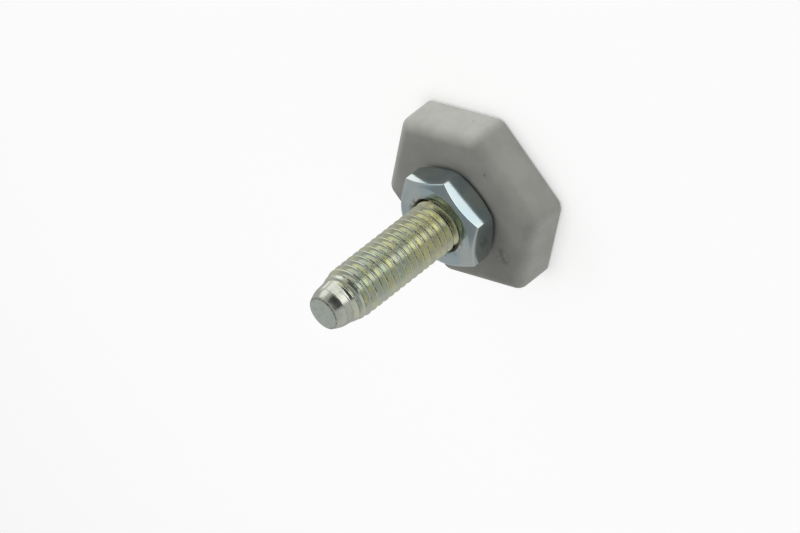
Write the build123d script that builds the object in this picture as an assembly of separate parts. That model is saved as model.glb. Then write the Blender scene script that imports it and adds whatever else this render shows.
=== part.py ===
from build123d import *
import math
import os

# Levelling foot for an appliance: a moulded hexagonal foot, the threaded stud that it is
# moulded round, and the lock nut that runs on the stud. Millimetres, +Z up. The origin is
# the middle of the sole, which stands on the XY plane, and one corner of the foot is on +X.

# Moulded foot, a hexagonal plate that a 32 mm spanner turns
foot_across_flats = 32.0
foot_height = 8.0
foot_corner_radius = 2.4
foot_edge_radius = 2.2
sole_edge_chamfer = 0.5

# Stud, M10 coarse thread by its real outer diameter
thread_diameter = 9.85
stud_standing = 35.0

# Tip of the stud: a plain tapered point, then the cone on which the thread runs in
neck_diameter = 8.0
point_length = 2.8
point_end_diameter = 6.76
point_swell = 0.10
end_rounding = 0.45
runin_length = 4.0
runin_swell = 0.10

# Head of the stud, held inside the moulding
head_across_flats = 17.0
head_height = 4.0
head_face_inset = 0.6
plastic_under_head = 2.0

# Lock nut, thin pattern, run down on the foot
nut_across_flats = 17.0
nut_height = 6.0
nut_face_inset = 0.55
nut_turn = 5.7
mouth_inset = 0.6
mouth_depth = 0.5
nut_running_clearance = 0.05

# The corners of both hexagons are turned off at this angle
corner_angle = 30.0

# Places along the axis that follow from the sizes above
tip_z = foot_height + stud_standing
neck_z = tip_z - point_length
full_thread_z = neck_z - runin_length
head_top_z = plastic_under_head + head_height
thread_radius = thread_diameter / 2
neck_radius = neck_diameter / 2
point_end_radius = point_end_diameter / 2


def hexagonal_bar(across_flats, height, turn=0.0):
    """Hexagonal prism on the XY plane, with a corner at the angle turn from +X."""
    corner_reach = across_flats / 2 / math.cos(math.radians(30))
    return extrude(RegularPolygon(corner_reach, 6, rotation=turn), height)


def round_off_corners(bar, across_flats, height, face_inset, both_ends):
    """Turn the corners of a hexagonal bar off at its ends, which leaves a round face."""
    face_radius = across_flats / 2 - face_inset
    reach = across_flats
    drop = (reach - face_radius) * math.tan(math.radians(corner_angle))
    low_cone = revolve(
        Plane.XZ * make_face(Polyline((0, 0), (face_radius, 0), (reach, drop), (reach, height + drop),
                                      (0, height + drop), close=True)),
        Axis.Z,
    )
    turned = bar & low_cone
    if both_ends:
        high_cone = Pos(0, 0, height) * Rot(180, 0, 0) * low_cone
        turned = turned & high_cone
    return turned


def moulded_stud():
    """Head, threaded length and tip in one piece, as it is upset and rolled from bar."""
    shank_foot_z = head_top_z - head_height / 2
    outline = [
        Line((0, shank_foot_z), (thread_radius, shank_foot_z)),
        Line((thread_radius, shank_foot_z), (thread_radius, full_thread_z)),
        swollen_line((thread_radius, full_thread_z), (neck_radius, neck_z), runin_swell),
        swollen_line((neck_radius, neck_z), (point_end_radius, tip_z), point_swell),
        Line((point_end_radius, tip_z), (0, tip_z)),
        Line((0, tip_z), (0, shank_foot_z)),
    ]
    shank = revolve(Plane.XZ * make_face(outline), Axis.Z)
    shank = fillet(shank.faces().sort_by(Axis.Z)[-1].edges(), end_rounding)
    head = hexagonal_bar(head_across_flats, head_height)
    head = round_off_corners(head, head_across_flats, head_height, head_face_inset, both_ends=False)
    return shank + Pos(0, 0, plastic_under_head) * head


def swollen_line(start, end, swell):
    """A nearly straight stretch of the stud's outline that bulges outwards by swell."""
    middle_radius = (start[0] + end[0]) / 2 + swell
    middle_z = (start[1] + end[1]) / 2
    return ThreePointArc(start, (middle_radius, middle_z), end)


def moulded_foot(stud):
    """Hexagonal plate with soft upper edges, closed round the head and shank of the stud."""
    plate = hexagonal_bar(foot_across_flats, foot_height)
    plate = fillet(plate.edges().filter_by(Axis.Z), foot_corner_radius)
    plate = fillet(plate.faces().sort_by(Axis.Z)[-1].edges(), foot_edge_radius)
    plate = chamfer(plate.faces().sort_by(Axis.Z)[0].edges(), sole_edge_chamfer)
    return plate - stud


def lock_nut():
    """Thin hexagonal nut with both faces turned round and its bore opened at each mouth."""
    bar = hexagonal_bar(nut_across_flats, nut_height, nut_turn)
    nut = round_off_corners(bar, nut_across_flats, nut_height, nut_face_inset, both_ends=True)
    bore_radius = thread_radius + nut_running_clearance
    mouth_radius = bore_radius + mouth_inset
    bore_outline = Polyline(
        (0, 0), (mouth_radius, 0), (bore_radius, mouth_depth),
        (bore_radius, nut_height - mouth_depth), (mouth_radius, nut_height), (0, nut_height),
        close=True,
    )
    nut -= revolve(Plane.XZ * make_face(bore_outline), Axis.Z)
    return Pos(0, 0, foot_height) * nut


stud = moulded_stud()
pieces = {
    "stud": stud,
    "foot": moulded_foot(stud),
    "lock_nut": lock_nut(),
}

os.makedirs("parts", exist_ok=True)
for name, piece in pieces.items():
    piece.label = name
    export_step(piece, f"parts/{name}.step")
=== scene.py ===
import math

import bmesh
import bpy
from mathutils import Matrix, Vector


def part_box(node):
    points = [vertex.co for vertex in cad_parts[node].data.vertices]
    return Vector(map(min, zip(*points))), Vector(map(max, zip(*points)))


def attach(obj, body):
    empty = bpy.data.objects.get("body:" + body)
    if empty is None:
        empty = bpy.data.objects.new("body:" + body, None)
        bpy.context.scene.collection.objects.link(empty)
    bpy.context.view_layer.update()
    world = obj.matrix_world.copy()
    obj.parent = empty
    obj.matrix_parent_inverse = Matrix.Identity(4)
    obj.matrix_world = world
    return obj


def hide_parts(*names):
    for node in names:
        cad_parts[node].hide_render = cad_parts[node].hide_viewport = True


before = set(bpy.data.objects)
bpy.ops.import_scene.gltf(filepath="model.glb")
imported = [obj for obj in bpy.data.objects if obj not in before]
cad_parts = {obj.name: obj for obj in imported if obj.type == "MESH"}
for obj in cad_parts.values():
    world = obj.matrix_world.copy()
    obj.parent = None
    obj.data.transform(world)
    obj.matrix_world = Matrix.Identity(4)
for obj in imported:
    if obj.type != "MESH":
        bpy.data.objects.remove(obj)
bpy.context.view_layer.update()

# The stud. One length of steel: its head is upset cold and hidden in the moulding, the M10
# thread is rolled over it and runs out on a cone, and a plain tapered point leads it into
# the hole. It is zinc plated and passivated, which leaves a pale greenish yellow.

mm = 0.001
foot_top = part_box("foot")[1][2]
tip_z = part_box("stud")[1][2]
head_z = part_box("stud")[0][2]
head_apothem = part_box("stud")[1][1]

thread_pitch = 1.5 * mm
crest_radius = 4.925 * mm
root_radius = 4.05 * mm
blank_radius = 4.5 * mm
thread_start_z = foot_top - 1.6 * mm
thread_fade = 0.7 * mm
full_thread_z = tip_z - 6.8 * mm

runin_end_z = tip_z - 3.8 * mm
runin_end_radius = 4.12 * mm
runin_swell = 0.05 * mm
runin_skew = 0.2 * mm
runin_skew_bearing = math.radians(-164)

crease_z = tip_z - 2.0 * mm
crease_radius = 3.93 * mm
rim_z = tip_z - 0.16 * mm
rim_radius = 3.22 * mm
point_swell = 0.06 * mm
point_steps = 8
end_face_radius = 2.96 * mm
end_face_rounding = 0.10 * mm

head_height = 4.0 * mm
head_face_radius = head_apothem - 0.6 * mm
head_corner_radius = 0.2 * mm
head_corner_steps = 6

around_stud = 120
half_side = math.radians(30)
corner_slope = math.tan(math.radians(30))


def soften(corners, steps=4):
    """Points along a line of (across, up, radius) corners, each rounded to its radius."""
    most_of_a_side = 0.49
    points = []
    for i, (across, up, radius) in enumerate(corners):
        here = Vector((across, up))
        if radius == 0 or i in (0, len(corners) - 1):
            points.append(here)
            continue
        back = Vector(corners[i - 1][:2]) - here
        ahead = Vector(corners[i + 1][:2]) - here
        half_angle = back.angle(ahead) / 2
        shorter = min(back.length, ahead.length)
        reach = min(radius / math.tan(half_angle), shorter * most_of_a_side)
        start = here + back.normalized() * reach
        end = here + ahead.normalized() * reach
        for k in range(steps + 1):
            t = k / steps
            points.append(start.lerp(here, t).lerp(here.lerp(end, t), t))
    return points


def facing(bearing):
    """Unit vector on the level, at a bearing from +X."""
    return Vector((math.cos(bearing), math.sin(bearing)))


def hexagon_rim(apothem, corner_radius, turn, per_side, per_corner):
    """Points round a hexagon with rounded corners, the first corner at the angle turn."""
    rim = []
    centre_reach = (apothem - corner_radius) / math.cos(half_side)
    for side in range(6):
        corner = turn + side * 2 * half_side
        next_corner = turn + (side + 1) * 2 * half_side
        centre = centre_reach * facing(corner)
        for k in range(per_corner + 1):
            bearing = corner - half_side + 2 * half_side * k / per_corner
            rim.append(centre + corner_radius * facing(bearing))
        start = rim[-1]
        end = centre_reach * facing(next_corner) + corner_radius * facing(corner + half_side)
        for k in range(1, per_side):
            rim.append(start.lerp(end, k / per_side))
    return rim


def lifted(rim, z):
    """The points of a rim, all at height z."""
    return [(point.x, point.y, z) for point in rim]


def level_ring(bearings, radius, z):
    """A round ring at height z with a point on each of the bearings."""
    return [(bearing.x * radius, bearing.y * radius, z) for bearing in bearings]


def add_rows(bm, rows, cap_first, cap_last):
    """Quads between successive rings of points, with a fan over an end that is to be closed."""
    rings = [[bm.verts.new(point) for point in row] for row in rows]
    count = len(rings[0])
    for low, high in zip(rings, rings[1:]):
        for j in range(count):
            k = (j + 1) % count
            bm.faces.new((low[j], low[k], high[k], high[j]))
    for wanted, ring, row in ((cap_first, rings[0], rows[0]), (cap_last, rings[-1], rows[-1])):
        if wanted:
            middle = bm.verts.new((0, 0, row[0][2]))
            for j in range(count):
                bm.faces.new((ring[j], ring[(j + 1) % count], middle))


def finished_piece(name, bm, crease_degrees):
    """Turns the built faces into a shaded object, with creases where faces meet sharply."""
    weld_distance = 0.0005 * mm
    bmesh.ops.remove_doubles(bm, verts=bm.verts, dist=weld_distance)
    bmesh.ops.dissolve_degenerate(bm, edges=bm.edges, dist=weld_distance)
    bmesh.ops.recalc_face_normals(bm, faces=bm.faces)
    mesh = bpy.data.meshes.new(name)
    bm.to_mesh(mesh)
    bm.free()
    mesh.shade_smooth()
    mesh.set_sharp_from_angle(angle=math.radians(crease_degrees))
    piece = bpy.data.objects.new(name, mesh)
    bpy.context.scene.collection.objects.link(piece)
    return piece


def swollen(low, high, swell, z):
    """Radius at height z between two (radius, z) points, bulged outwards by swell."""
    t = (z - low[1]) / (high[1] - low[1])
    return low[0] + (high[0] - low[0]) * t + swell * 4 * t * (1 - t)


def crest_line(z, bearing):
    """Radius that the tops of the thread reach at height z."""
    if z < thread_start_z + thread_fade:
        share = max(0, (z - thread_start_z) / thread_fade)
        return blank_radius + (crest_radius - blank_radius) * share
    if z < full_thread_z:
        return crest_radius
    end_z = runin_end_z + runin_skew * math.cos(bearing - runin_skew_bearing)
    if z < end_z:
        return swollen((crest_radius, full_thread_z), (runin_end_radius, end_z), runin_swell, z)
    return swollen((runin_end_radius, end_z), (crease_radius, crease_z), 0, z)


def root_line(z):
    """Radius of the bottom of the thread at height z."""
    share = min(1, max(0, (z - thread_start_z) / thread_fade))
    return blank_radius + (root_radius - blank_radius) * share


# One turn of the rolled thread: share of the pitch, and height from root to crest
thread_section = [
    (0.000, 1.000), (0.040, 0.999), (0.055, 0.985), (0.070, 0.950),
    (0.150, 0.712), (0.235, 0.460), (0.320, 0.208), (0.368, 0.065),
    (0.400, 0.018), (0.450, 0.003), (0.500, 0.000),
]
thread_section += [(1 - share, height) for share, height in reversed(thread_section[1:-1])]


def add_thread(bm):
    """The rolled thread as a skin whose lines follow the helix, cut back where it runs out."""
    per_turn = len(thread_section)
    spare_turns = 2
    turns = int((tip_z - thread_start_z) / thread_pitch) + 2 * spare_turns
    grid = {}

    def corner(n, j):
        if j == around_stud:
            n, j = n + per_turn, 0
        if (n, j) not in grid:
            share, height = thread_section[n % per_turn]
            bearing = 2 * math.pi * j / around_stud
            turn = n // per_turn - spare_turns + share + j / around_stud
            z = min(max(thread_start_z + thread_pitch * turn, thread_start_z), crease_z)
            whole = root_line(z) + height * (crest_radius - root_line(z))
            radius = min(whole, crest_line(z, bearing))
            grid[n, j] = bm.verts.new((*(radius * facing(bearing)), z))
        return grid[n, j]

    for n in range(turns * per_turn):
        for j in range(around_stud):
            bm.faces.new((corner(n, j), corner(n, j + 1), corner(n + 1, j + 1), corner(n + 1, j)))


stud_bearings = [facing(2 * math.pi * j / around_stud) for j in range(around_stud)]
bm = bmesh.new()
add_thread(bm)

point_rows = []
for k in range(point_steps + 1):
    z = crease_z + (rim_z - crease_z) * k / point_steps
    radius = swollen((crease_radius, crease_z), (rim_radius, rim_z), point_swell, z)
    point_rows.append(level_ring(stud_bearings, radius, z))
end_line = soften([
    (rim_radius, rim_z, 0),
    (end_face_radius, tip_z, end_face_rounding),
    (end_face_radius / 2, tip_z, 0),
])
point_rows += [level_ring(stud_bearings, across, up) for across, up in end_line[1:]]
add_rows(bm, point_rows, cap_first=False, cap_last=True)

head_side_steps = around_stud // 6 - head_corner_steps
head_rim = hexagon_rim(head_apothem, head_corner_radius, 0, head_side_steps, head_corner_steps)
head_bearings = [point.normalized() for point in head_rim]
head_top_z = head_z + head_height

# The head's rim starts half a corner before +X, and the thread's foot has to start there too
first = -(head_corner_steps // 2)
thread_foot = level_ring(stud_bearings, blank_radius, thread_start_z)
thread_foot = thread_foot[first:] + thread_foot[:first]

head_shoulder = [
    (point.x, point.y, head_z + (point.length - head_face_radius) * corner_slope)
    for point in head_rim
]
head_rows = [
    level_ring(head_bearings, head_face_radius, head_z),
    head_shoulder,
    lifted(head_rim, head_top_z),
    level_ring(head_bearings, blank_radius, head_top_z),
    thread_foot,
]
add_rows(bm, head_rows, cap_first=True, cap_last=False)
stud = finished_piece("threaded_stud", bm, crease_degrees=50)


class Flow:
    """What runs between the nodes of a material. A sum written with it adds its Math nodes."""

    def __init__(self, tree, socket=None):
        self.tree = tree
        self.socket = socket

    def node(self, kind, settings=None, sockets=None, out=0):
        """Any other node: its settings first, then its sockets, and the output that goes on."""
        made = self.tree.nodes.new("ShaderNode" + kind)
        for name, value in (settings or {}).items():
            setattr(made, name, value)
        for name, value in (sockets or {}).items():
            if isinstance(value, Flow):
                self.tree.links.new(value.socket, made.inputs[name])
            else:
                made.inputs[name].default_value = value
        return Flow(self.tree, made.outputs[out])

    def maths(self, operation, first, second):
        """A Math node on two values. Either of them may be a plain number."""
        return self.node("Math", {"operation": operation}, {0: first, 1: second})

    def __add__(self, other):
        return self.maths("ADD", self, other)

    def __radd__(self, other):
        return self.maths("ADD", other, self)

    def __sub__(self, other):
        return self.maths("SUBTRACT", self, other)

    def __rsub__(self, other):
        return self.maths("SUBTRACT", other, self)

    def __mul__(self, other):
        return self.maths("MULTIPLY", self, other)

    def __rmul__(self, other):
        return self.maths("MULTIPLY", other, self)

    def __abs__(self):
        return self.node("Math", {"operation": "ABSOLUTE"}, {0: self})

    def rise(self, low, high):
        """0 below low, 1 above high, and a smooth step between."""
        limits = {"Value": self, "From Min": low, "From Max": high}
        return self.node("MapRange", {"interpolation_type": "SMOOTHSTEP"}, limits)

    def blend(self, first, second):
        """From the first colour to the second as this value goes from 0 to 1."""
        # A Mix node has its two colours on sockets 6 and 7, and gives a colour on output 2
        return self.node("Mix", {"data_type": "RGBA"}, {0: self, 6: first, 7: second}, out=2)

    def near(self, point, size):
        """1 at a point of the piece, falling to 0 at size from it."""
        away = self.node("VectorMath", {"operation": "DISTANCE"}, {0: self, 1: point}, out="Value")
        return 1 - away.rise(0.4 * size, size)

    def along(self, way):
        """How far this vector goes along a given unit vector."""
        return self.node("VectorMath", {"operation": "DOT_PRODUCT"}, {0: self, 1: way}, out="Value")

    def from_axis(self):
        """Distance of a place from the upright axis of the part."""
        level = self.node("VectorMath", {"operation": "MULTIPLY"}, {0: self, 1: (1, 1, 0)})
        return level.node("VectorMath", {"operation": "LENGTH"}, {0: level}, out="Value")

    def height(self):
        """Height of a place above the table."""
        return self.node("SeparateXYZ", None, {"Vector": self}, out="Z")

    def noise(self, size, detail=2.0, roughness=0.5, stretch=(1, 1, 1)):
        """Cloudy values about size across, stretched by the given factors."""
        scale = tuple(1 / factor for factor in stretch)
        place = self.node("VectorMath", {"operation": "MULTIPLY"}, {0: self, 1: scale})
        sockets = {"Vector": place, "Scale": 1 / size, "Detail": detail, "Roughness": roughness}
        return self.node("TexNoise", None, sockets)

    def bump(self, strength, distance):
        """The surface raised and sunk by this height, to go into Normal."""
        sockets = {"Strength": strength, "Distance": distance, "Height": self}
        return self.node("Bump", None, sockets)


def new_finish(piece, name):
    """A new material on a piece: its surface shader, and the place of a point on the piece."""
    material = bpy.data.materials.new(name)
    material.use_nodes = True
    piece.data.materials.append(material)
    shader = material.node_tree.nodes["Principled BSDF"]
    place = Flow(material.node_tree).node("TexCoord", out="Object")
    return shader, place


def lay_on(shader, flows, constants):
    """Links what varies to the shader's sockets, and sets what is the same all over."""
    for name, flow in flows.items():
        flow.tree.links.new(flow.socket, shader.inputs[name])
    for name, value in constants.items():
        shader.inputs[name].default_value = value


yellow_zinc = (0.79, 0.78, 0.50, 1)
olive_zinc = (0.63, 0.64, 0.49, 1)
green_zinc = (0.64, 0.70, 0.585, 1)
violet_zinc = (0.65, 0.67, 0.68, 1)
bare_zinc = (0.61, 0.63, 0.55, 1)
end_zinc = (0.60, 0.65, 0.60, 1)
# The dark colour below is used for grime and for painted shade on the stud
grime_and_shade_colour = (0.12, 0.12, 0.09, 1)

olive_below_z = 20 * mm
green_above_z = 34 * mm
colour_wander = 8 * mm
silvery_from_z = full_thread_z + 1.6 * mm
silvery_all_z = crease_z - 0.6 * mm
root_dark_ends_z = runin_end_z - 0.4 * mm
root_dark_full_depth = 0.01 * mm
root_dark_no_depth = 0.10 * mm
rim_line_reach = 0.04 * mm
end_line_reach = 0.03 * mm
crease_line_core = 0.02 * mm
crease_line_reach = 0.07 * mm

shader, place = new_finish(stud, "yellow_zinc_thread")
height = place.height()
radius = place.from_axis()

patches = place.noise(3.2 * mm, stretch=(1, 1, 0.7))
olive_to_yellow = patches.rise(0.42, 0.66).blend(olive_zinc, yellow_zinc)
green_to_yellow = (patches.rise(0.40, 0.66) * 0.8).blend(green_zinc, yellow_zinc)
along = (height + place.noise(6 * mm) * colour_wander).rise(olive_below_z, green_above_z)
colour = along.blend(olive_to_yellow, green_to_yellow)
violet = place.noise(3.6 * mm, detail=1, stretch=(1, 1, 0.6)).rise(0.48, 0.66) * along * 0.5
colour = violet.blend(colour, violet_zinc)
silvery = height.rise(silvery_from_z, silvery_all_z)
colour = silvery.blend(colour, bare_zinc)
colour = height.rise(rim_z, tip_z).blend(colour, end_zinc)

# Partly grime, partly painted shade: the roots of the thread are darkened, most where they are
# deepest, standing in for the shade that falls in the grooves
depth = 1 - radius.rise(root_radius + root_dark_full_depth, root_radius + root_dark_no_depth)
on_thread = 1 - height.rise(silvery_from_z, root_dark_ends_z)
root_shade_and_grime = depth * on_thread * place.noise(0.8 * mm, detail=4).rise(0.2, 0.7) * 0.8
rim_line = height.rise(rim_z - rim_line_reach, rim_z + rim_line_reach)
beyond_end_face = radius.rise(end_face_radius - end_line_reach, end_face_radius + end_line_reach)
rim_line = rim_line * beyond_end_face
rim_line = rim_line * place.noise(0.4 * mm, detail=4).rise(0.36, 0.62) * 0.6
crease_line = 1 - abs(height - crease_z).rise(crease_line_core, crease_line_reach)
crease_line = crease_line * place.noise(0.4 * mm, detail=4).rise(0.3, 0.6) * 0.7
stain = place.noise(0.9 * mm, detail=4).rise(0.45, 0.75) * silvery * 0.18
# The dark marks together: grime and painted shade in the thread roots, dark broken lines along the
# rim of the end face and along the crease, and stains. All go towards one dark colour and make the
# surface rougher
grime_and_shade = root_shade_and_grime + rim_line + crease_line + stain
colour = grime_and_shade.blend(colour, grime_and_shade_colour)

roughness = 0.15 + place.noise(0.5 * mm, detail=4) * 0.14 + grime_and_shade * 0.3
dents = place.noise(0.35 * mm, detail=3)
grain = place.noise(0.07 * mm) * 0.25
pressed = place.noise(0.9 * mm, detail=3, stretch=(1.6, 1.6, 0.7)) * silvery * 3.5
relief = (dents + grain + pressed).bump(strength=0.3, distance=0.02 * mm)
lay_on(shader, {"Base Color": colour, "Roughness": roughness, "Normal": relief}, {"Metallic": 1.0})
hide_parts("stud")
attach(stud, "foot_body")

# The foot. One injection moulding in grey plastic, shot round the head of the stud: a
# hexagon for the spanner with rounded corners, a soft upper edge and a flat sole.

foot_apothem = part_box("foot")[1][1]
foot_corner_radius = 2.4 * mm
foot_edge_radius = 2.2 * mm
least_corner_radius = 0.05 * mm
foot_side_steps = 12
foot_corner_steps = 7
foot_edge_steps = 10
sole_middle_inset = foot_apothem * 0.55
sole_chamfer = 0.5 * mm
sole_rounding = 0.12 * mm
side_rounding = 0.15 * mm
side_top_z = foot_top - foot_edge_radius - 0.3 * mm
flat_top_radius = 9.5 * mm
hole_edge_width = 0.1 * mm
hole_edge_depth = 0.08 * mm


def foot_rim(inset, z):
    """The foot's outline at height z, moved in by inset."""
    radius = max(foot_corner_radius - inset, least_corner_radius)
    rim = hexagon_rim(foot_apothem - inset, radius, 0, foot_side_steps, foot_corner_steps)
    return lifted(rim, z)


foot_bearings = [Vector(point[:2]).normalized() for point in foot_rim(0, 0)]


def pocket_rim(z):
    """The hexagonal wall that the plastic makes round the head."""
    rim = []
    for bearing in foot_bearings:
        off_flat = (math.atan2(bearing.y, bearing.x) % (2 * half_side)) - half_side
        radius = head_apothem / math.cos(off_flat)
        rim.append((bearing.x * radius, bearing.y * radius, z))
    return rim


foot_line = soften([
    (sole_middle_inset, 0, 0),
    (sole_chamfer, 0, sole_rounding),
    (0, sole_chamfer, side_rounding),
    (0, side_top_z, 0),
])
rows = [foot_rim(inset, z) for inset, z in foot_line]
for k in range(foot_edge_steps + 1):
    sweep = math.radians(90 * k / foot_edge_steps)
    inset = foot_edge_radius * (1 - math.cos(sweep))
    drop = foot_edge_radius * (1 - math.sin(sweep))
    rows.append(foot_rim(inset, foot_top - drop))
rows += [
    level_ring(foot_bearings, flat_top_radius, foot_top),
    level_ring(foot_bearings, crest_radius + hole_edge_width, foot_top),
    level_ring(foot_bearings, crest_radius, foot_top - hole_edge_depth),
    level_ring(foot_bearings, crest_radius, head_top_z),
    pocket_rim(head_top_z),
    pocket_rim(head_z),
]
bm = bmesh.new()
add_rows(bm, rows, cap_first=True, cap_last=True)
foot = finished_piece("moulded_foot", bm, crease_degrees=40)

grey = (0.305, 0.305, 0.281, 1)
pale_grey = (0.350, 0.350, 0.326, 1)
speck_colour = (0.12, 0.12, 0.11, 1)
# Grey of the painted shade on the foot round the nut
seat_shade_grey = (0.17, 0.17, 0.155, 1)

seat_shade_inner = 8.3 * mm
seat_shade_outer = 9.2 * mm
seat_shade_from_z = foot_top - 0.4 * mm
seat_shade_all_z = foot_top - 0.1 * mm
speck_spacing = 3.4 * mm
face_speck = (3.05 * mm, -13.03 * mm, 8.0 * mm)
face_speck_size = 0.42 * mm
side_speck = (11.6 * mm, -11.9 * mm, 2.8 * mm)
side_speck_size = 0.3 * mm
face_scuff = (-11.1 * mm, -2.7 * mm, 8.0 * mm)
face_scuff_size = 2.4 * mm

shader, place = new_finish(foot, "grey_moulded_plastic")
cloud = place.noise(5 * mm, detail=4, roughness=0.6).rise(0.3, 0.7)
colour = cloud.blend(grey, pale_grey)
# Painted shade: a darker ring on the top face just round the nut's seat, standing in for the shade
# at the foot of the nut. The same ring makes the plastic a little smoother there
seat_shade_ring = 1 - place.from_axis().rise(seat_shade_inner, seat_shade_outer)
seat_shade_ring = seat_shade_ring * place.height().rise(seat_shade_from_z, seat_shade_all_z)
colour = (seat_shade_ring * 0.7).blend(colour, seat_shade_grey)

spread = {"Vector": place, "Scale": 1 / speck_spacing}
from_speck = place.node("TexVoronoi", {"feature": "F1"}, spread, out="Distance")
specks = (1 - from_speck.rise(0.02, 0.05)) * place.noise(5 * mm).rise(0.52, 0.6) * 0.5
specks = specks + place.near(face_speck, face_speck_size) * 0.6
specks = specks + place.near(side_speck, side_speck_size) * 0.5
scuff = place.noise(1.3 * mm, detail=3).rise(0.35, 0.65) * 0.62
scuff = scuff * place.near(face_scuff, face_scuff_size)
colour = (specks + scuff).blend(colour, speck_colour)

roughness = 0.5 + place.noise(1.5 * mm, detail=3) * 0.14 - seat_shade_ring * 0.12
skin_grain = place.noise(0.16 * mm, detail=3)
flow_waves = place.noise(2.4 * mm, detail=3) * 1.6
relief = (skin_grain + flow_waves).bump(strength=0.3, distance=0.03 * mm)
lay_on(shader, {"Base Color": colour, "Roughness": roughness, "Normal": relief}, {"IOR": 1.49})
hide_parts("foot")
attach(foot, "foot_body")

# The lock nut. Thin hexagonal nut cut from drawn bar, both faces turned so that the corners
# are cut back to a circle, its bore opened at each mouth and tapped, then bright zinc plated.

nut_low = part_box("lock_nut")[0][2]
nut_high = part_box("lock_nut")[1][2]
nut_apothem = 8.5 * mm
nut_turn = math.radians(5.7)
nut_face_radius = nut_apothem - 0.55 * mm
nut_bore_radius = crest_radius + 0.05 * mm
nut_mouth_radius = nut_bore_radius + 0.6 * mm
nut_mouth_depth = 0.5 * mm
nut_corner_radius = 0.22 * mm
nut_side_steps = 22
nut_corner_steps = 6
mouth_rounding = 0.09 * mm
face_rounding = 0.18 * mm
flat_rounding = 0.45 * mm

nut_rim = hexagon_rim(nut_apothem, nut_corner_radius, nut_turn, nut_side_steps, nut_corner_steps)
nut_lines = []
for point in nut_rim:
    drop = (point.length - nut_face_radius) * corner_slope
    nut_lines.append(soften([
        (nut_bore_radius, nut_low + nut_mouth_depth, 0),
        (nut_mouth_radius, nut_low, mouth_rounding),
        (nut_face_radius, nut_low, face_rounding),
        (point.length, nut_low + drop, flat_rounding),
        (point.length, nut_high - drop, flat_rounding),
        (nut_face_radius, nut_high, face_rounding),
        (nut_mouth_radius, nut_high, mouth_rounding),
        (nut_bore_radius, nut_high - nut_mouth_depth, 0),
    ], steps=3))
rows = []
for line_points in zip(*nut_lines):
    rows.append([
        (*(point.normalized() * across), up) for point, (across, up) in zip(nut_rim, line_points)
    ])
rows.append(rows[0])
bm = bmesh.new()
add_rows(bm, rows, cap_first=False, cap_last=False)
nut = finished_piece("lock_nut_plated", bm, crease_degrees=35)

blue_zinc = (0.44, 0.54, 0.57, 1)
straw_zinc = (0.55, 0.60, 0.58, 1)
# The dark colour below is used for painted shade in the bore and under the nut, and for smudges
darkening_colour = (0.13, 0.125, 0.10, 1)
smudge_reach = 1.1 * mm

shader, place = new_finish(nut, "bright_zinc_nut")
radius = place.from_axis()
colour = place.noise(5 * mm, detail=1).rise(0.35, 0.65).blend(blue_zinc, straw_zinc)
# Painted shade: the bore and its mouths, and the lowest part of the nut next to the foot, are
# darkened where shade falls
in_bore = 1 - radius.rise(nut_mouth_radius - 0.25 * mm, nut_mouth_radius + 0.05 * mm)
under = 1 - place.height().rise(nut_low + 0.1 * mm, nut_low + 0.4 * mm)
darkening = place.maths("MAXIMUM", in_bore, under) * 0.85
# Smudges on the faces round each mouth, kept off the painted shade
smudge = 1 - radius.rise(nut_mouth_radius, nut_mouth_radius + smudge_reach)
smudge = smudge * place.noise(1.1 * mm, detail=3).rise(0.40, 0.62) * (1 - darkening) * 0.6
darkening = darkening + smudge
colour = darkening.blend(colour, darkening_colour)

roughness = 0.08 + place.noise(0.6 * mm, detail=4) * 0.08 + darkening * 0.3
drawn_lines = place.noise(0.12 * mm, stretch=(1, 1, 30)) * 0.3
dents = place.noise(0.9 * mm)
sway = place.noise(4 * mm, detail=1) * 8
relief = (drawn_lines + dents + sway).bump(strength=0.12, distance=0.02 * mm)
lay_on(shader, {"Base Color": colour, "Roughness": roughness, "Normal": relief}, {"Metallic": 1.0})
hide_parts("lock_nut")
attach(nut, "nut_body")

# The table and the light. A plain pale sheet, lit through from below so that hardly any
# shadow shows on it, soft lights on both sides, and a surround of soft panels with dark gaps
# between them, which the plated steel mirrors.

floor_half = 1.5
floor_corners = [
    (-floor_half, -floor_half), (floor_half, -floor_half),
    (floor_half, floor_half), (-floor_half, floor_half),
]
bm = bmesh.new()
bm.faces.new([bm.verts.new((x, y, 0)) for x, y in floor_corners])
floor = finished_piece("pale_sheet", bm, crease_degrees=30)
shader, _ = new_finish(floor, "pale_sheet")
lay_on(shader, {}, {
    "Base Color": (0.88, 0.88, 0.88, 1), "Roughness": 0.9, "Specular IOR Level": 0.1,
    "Emission Color": (1, 1, 1, 1), "Emission Strength": 0.30,
})
floor.visible_glossy = False


def direction(azimuth, elevation):
    """Unit vector towards a bearing and a height, both in degrees."""
    level = facing(math.radians(azimuth)) * math.cos(math.radians(elevation))
    return Vector((level.x, level.y, math.sin(math.radians(elevation))))


lamp_distance = 0.6


def soft_light(name, azimuth, elevation, size, strength, lit):
    """A rectangular light on the pieces in lit. Its strength is what a white face gets."""
    lamp = bpy.data.lights.new(name, "AREA")
    lamp.shape = "RECTANGLE"
    lamp.size, lamp.size_y = size
    lamp.energy = strength * (math.pi * lamp_distance) ** 2
    holder = bpy.data.objects.new(name, lamp)
    outward = direction(azimuth, elevation)
    holder.location = outward * lamp_distance
    holder.rotation_euler = outward.to_track_quat("Z", "Y").to_euler()
    holder.visible_camera = False
    holder.visible_glossy = False
    bpy.context.scene.collection.objects.link(holder)
    receivers = bpy.data.collections.new(name + "_receivers")
    for piece in lit:
        receivers.objects.link(piece)
    holder.light_linking.receiver_collection = receivers


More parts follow.
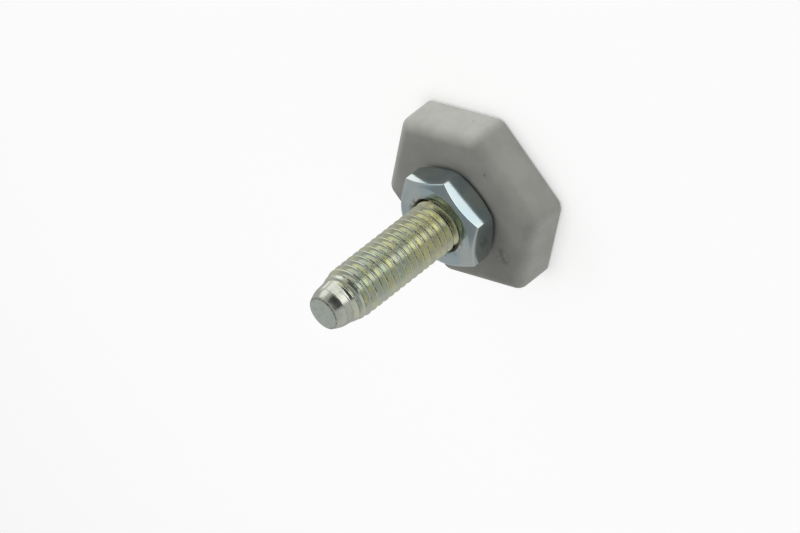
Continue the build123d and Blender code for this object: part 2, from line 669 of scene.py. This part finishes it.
pieces = (stud, foot, nut)
soft_light("right_light", -9, 18, size=(0.72, 0.46), strength=0.67, lit=pieces)
soft_light("right_fill", -10, 2, size=(0.30, 0.10), strength=0.30, lit=pieces)
soft_light("left_light", 180, 14, size=(0.40, 0.26), strength=0.12, lit=pieces)
soft_light("sheet_light", 0, 90, size=(0.6, 0.6), strength=0.48, lit=(floor,))

front_bearing = -84
world = bpy.data.worlds.new("pale_surround")
world.use_nodes = True
background = world.node_tree.nodes["Background"]
towards = Flow(world.node_tree).node("TexCoord", out="Generated")
ahead = towards.along(direction(front_bearing, 0))
aside = towards.along(direction(front_bearing + 90, 0))
turn = towards.maths("ARCTAN2", aside, ahead)
upward = towards.height()


def between(flow, low, high, edge):
    """1 between two values, with soft edges on them."""
    return flow.rise(low - edge, low + edge) * (1 - flow.rise(high - edge, high + edge))


even_light = 0.52
low_down = 1 - upward.rise(-0.5, -0.2)
overhead = upward.rise(0.55, 0.85)
surround = even_light - low_down * 0.06 - overhead * 0.2

# Each panel's brightness, then in degrees its turns from the front, its elevations and its
# soft edge, and what mirrors it
panels = [
    (0.62, (-130, -30), (-22, 8), 8),    # even grey on the shaded side of the thread
    (0.45, (-20, 58), (-70, -26), 5),    # grey below the front
    (0.08, (14, 56), (-75, -25), 3),     # dark streak along the thread
    (1.20, (68, 104), (-60, 12), 6),     # second highlight along it
    (0.52, (104, 150), (-60, 12), 8),    # grey beyond that
    (1.45, (114, 126), (-48, -16), 3),   # narrow highlight near its edge
    (1.5, (-25, 13), (-50, -14), 3),     # main highlight along the thread
    (1.7, (-16, 66), (-22, -13), 2.5),   # highlight round the neck
    (0.05, (-28, 44), (-10, 21), 2.5),   # dark card, seen in the cone and the point
]
for brightness, turns, elevations, soft in panels:
    edge = math.radians(soft)
    left, right = (math.radians(value) for value in turns)
    low, high = (math.sin(math.radians(value)) for value in elevations)
    cover = between(turn, left, right, edge) * between(upward, low, high, edge)
    surround = surround + cover * (brightness - surround)
world.node_tree.links.new(surround.socket, background.inputs["Color"])
bpy.context.scene.world = world
bpy.context.scene.view_settings.view_transform = "Standard"

# The camera. A long lens, so that the hexagons hardly narrow, rolled so that the stud points
# down to the left of the picture.

camera_aim = Vector((-2.451, 6.487, 20.751)) * mm
camera_distance = 1.252
camera_azimuth = -83.98
camera_elevation = 31.37
camera_roll = math.radians(128.04)

camera_data = bpy.data.cameras.new("camera")
camera_data.lens = 322.3
camera_data.sensor_width = 36
camera_data.clip_start = 0.1
camera = bpy.data.objects.new("camera", camera_data)
outward = direction(camera_azimuth, camera_elevation)
level_right = direction(camera_azimuth + 90, 0)
level_up = outward.cross(level_right)
right = level_right * math.cos(camera_roll) - level_up * math.sin(camera_roll)
up = outward.cross(right)
camera_axes = Matrix((right, up, outward)).transposed().to_4x4()
camera.matrix_world = Matrix.Translation(camera_aim + outward * camera_distance) @ camera_axes
bpy.context.scene.collection.objects.link(camera)
bpy.context.scene.camera = camera
